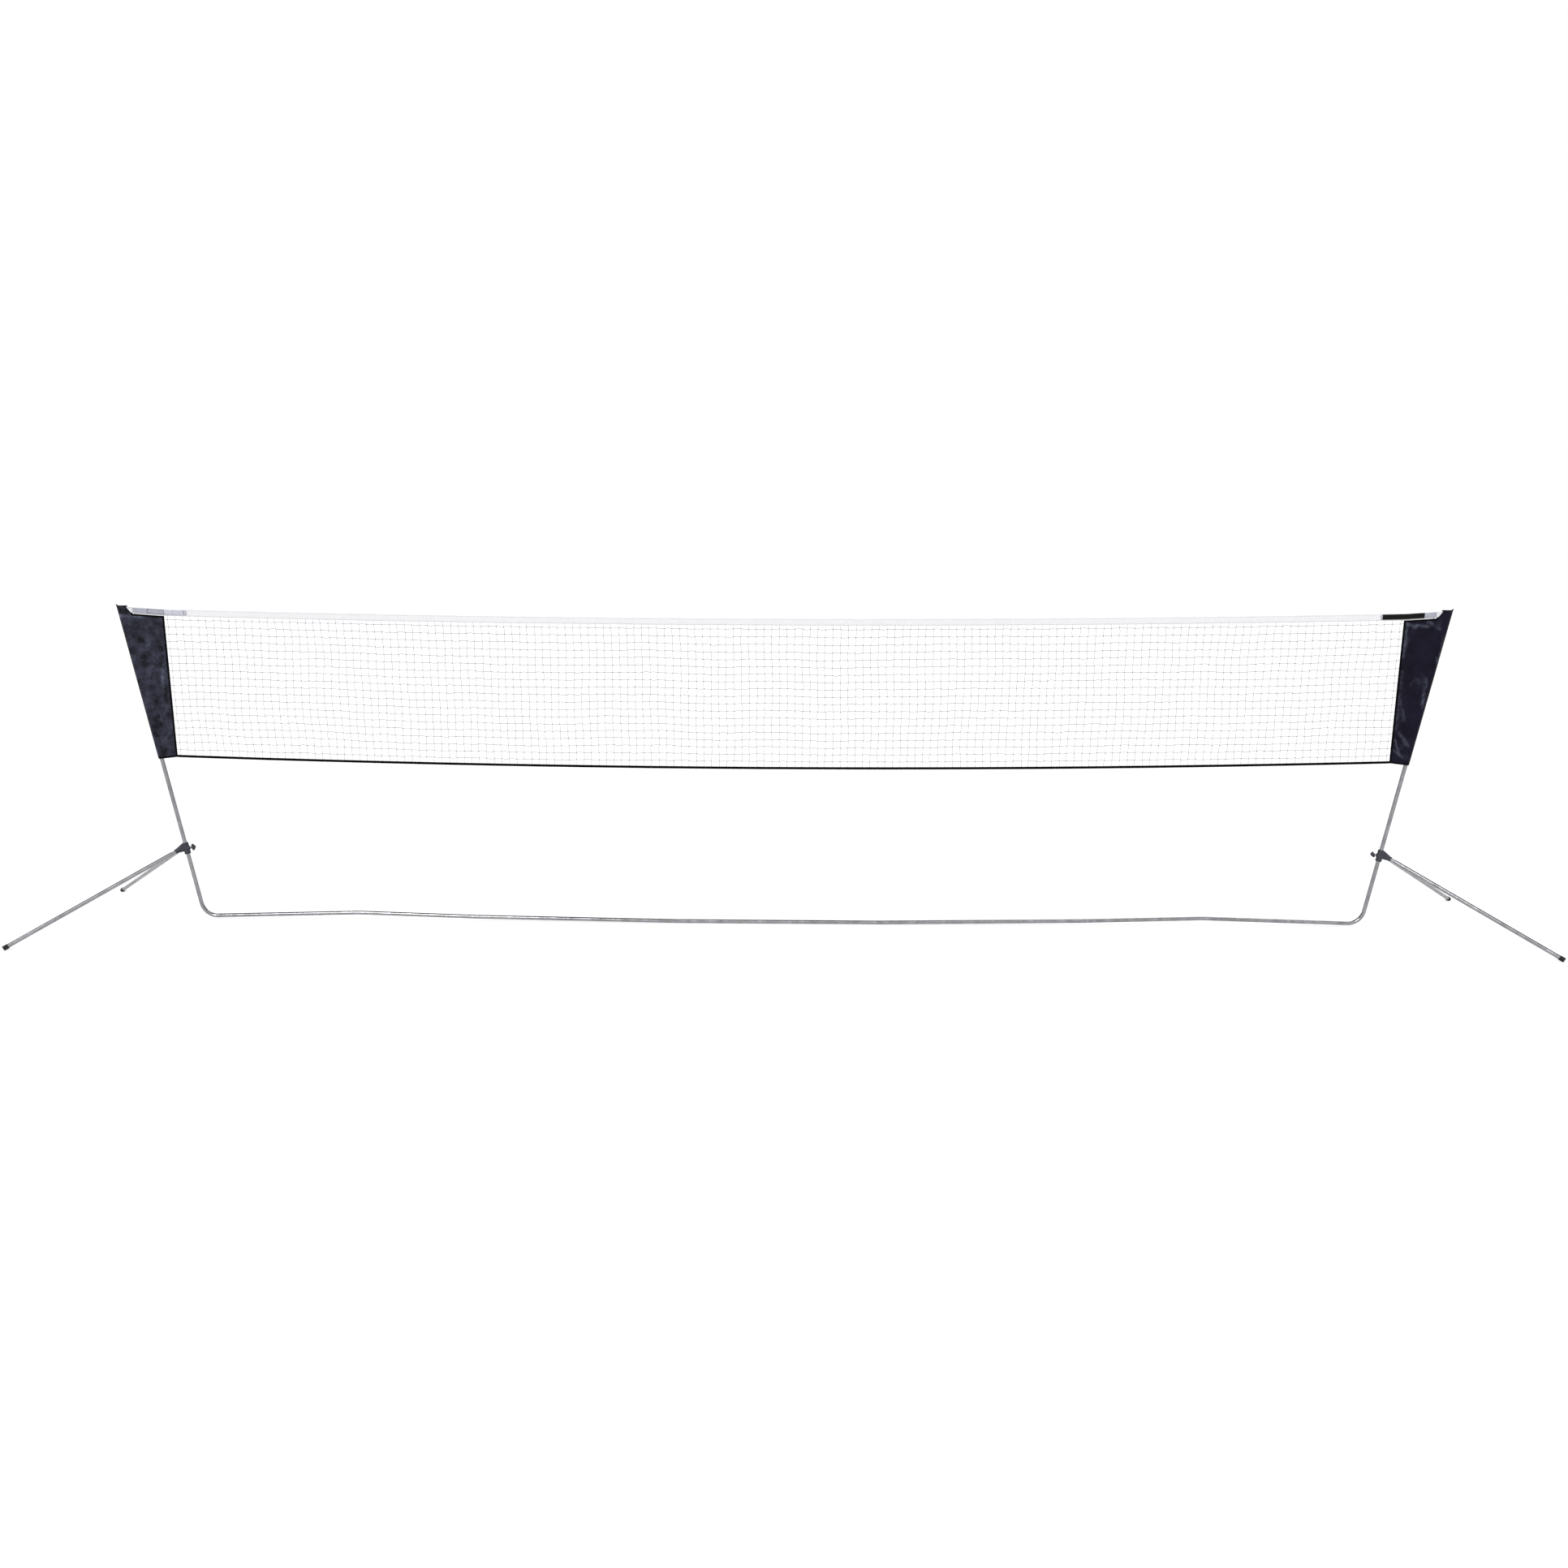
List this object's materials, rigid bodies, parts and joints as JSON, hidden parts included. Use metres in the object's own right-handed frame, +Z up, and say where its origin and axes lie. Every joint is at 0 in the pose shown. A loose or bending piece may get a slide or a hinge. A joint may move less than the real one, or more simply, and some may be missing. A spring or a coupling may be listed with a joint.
{
  "type": "badminton and volleyball net on poles",
  "caption": "Free-standing net: knotted mesh between two fabric sleeves on leaning poles, joined by a ground rail and held up by splayed legs on sliding clamps.",
  "frame": {"origin": "on the ground, under the middle of the net", "axes": "+X along the net to the right as seen from the front, +Y to the back, +Z up"},
  "size_m": [7.1368, 0.9808, 1.552],
  "materials": {
    "steel_tube": "satin, drawn tube with lengthwise grain",
    "net_twine": "knotted pale twine",
    "white_tape": "folded and stitched polyester tape",
    "black_tape": "folded and stitched polyester tape",
    "hook_tape": "hook tape",
    "loop_tape": "loop tape",
    "strap_webbing": "woven webbing",
    "sleeve_fabric": "coated woven nylon, satin, creased",
    "plug_plastic": "moulded, matte",
    "clamp_plastic": "moulded, satin",
    "zinc_steel": "zinc plated",
    "foot_rubber": "moulded, matte"
  },
  "bodies": {
    "frame": {"rail_centre": "steel_tube", "net_mesh": "net_twine", "top_tape": "white_tape", "bottom_tape": "black_tape", "right_hook_tab": "hook_tape", "left_rail_inner": "steel_tube", "left_rail_outer": "steel_tube", "left_corner_tube": "steel_tube", "left_pole_top": "steel_tube", "left_pole_plug": "plug_plastic", "left_sleeve": "sleeve_fabric", "left_strap": "strap_webbing", "left_loop_patch": "loop_tape", "right_rail_inner": "steel_tube", "right_rail_outer": "steel_tube", "right_corner_tube": "steel_tube", "right_pole_top": "steel_tube", "right_pole_plug": "plug_plastic", "right_sleeve": "sleeve_fabric", "right_strap": "strap_webbing", "right_loop_patch": "loop_tape"},
    "left_leg_set": {"left_clamp": "clamp_plastic", "left_clamp_nut": "zinc_steel", "left_front_leg": "steel_tube", "left_rear_leg": "steel_tube", "left_front_foot": "foot_rubber", "left_rear_foot": "foot_rubber"},
    "left_stud": {"left_clamp_stud": "zinc_steel"},
    "left_knob": {"left_wing_knob": "clamp_plastic"},
    "right_leg_set": {"right_clamp": "clamp_plastic", "right_clamp_nut": "zinc_steel", "right_front_leg": "steel_tube", "right_rear_leg": "steel_tube", "right_front_foot": "foot_rubber", "right_rear_foot": "foot_rubber"},
    "right_stud": {"right_clamp_stud": "zinc_steel"},
    "right_knob": {"right_wing_knob": "clamp_plastic"}
  },
  "joints": [
    {"name": "left_clamp_slide", "type": "slide", "parent": "frame", "child": "left_leg_set", "axis": [-0.1719, 0, 0.9851], "range_m": [-0.25, 0.4]},
    {"name": "left_screw_travel", "type": "slide", "parent": "left_leg_set", "child": "left_stud", "axis": [0.9851, 0, 0.1719], "range_m": [0, 0.003]},
    {"name": "left_knob_turn", "type": "hinge", "parent": "left_stud", "child": "left_knob", "pos_m": [-2.92726, 0, 0.36716], "axis": [0.9851, 0, 0.1719], "range_deg": [0, 1080]},
    {"name": "right_clamp_slide", "type": "slide", "parent": "frame", "child": "right_leg_set", "axis": [0.1719, 0, 0.9851], "range_m": [-0.25, 0.4]},
    {"name": "right_screw_travel", "type": "slide", "parent": "right_leg_set", "child": "right_stud", "axis": [-0.9851, 0, 0.1719], "range_m": [0, 0.003]},
    {"name": "right_knob_turn", "type": "hinge", "parent": "right_stud", "child": "right_knob", "pos_m": [2.92726, 0, 0.36716], "axis": [-0.9851, 0, 0.1719], "range_deg": [0, 1080]}
  ],
  "couplings": [
    {"joint": "left_screw_travel", "follows": "left_knob_turn", "m_per_rad": 0.00015915},
    {"joint": "right_screw_travel", "follows": "right_knob_turn", "m_per_rad": 0.00015915}
  ]
}
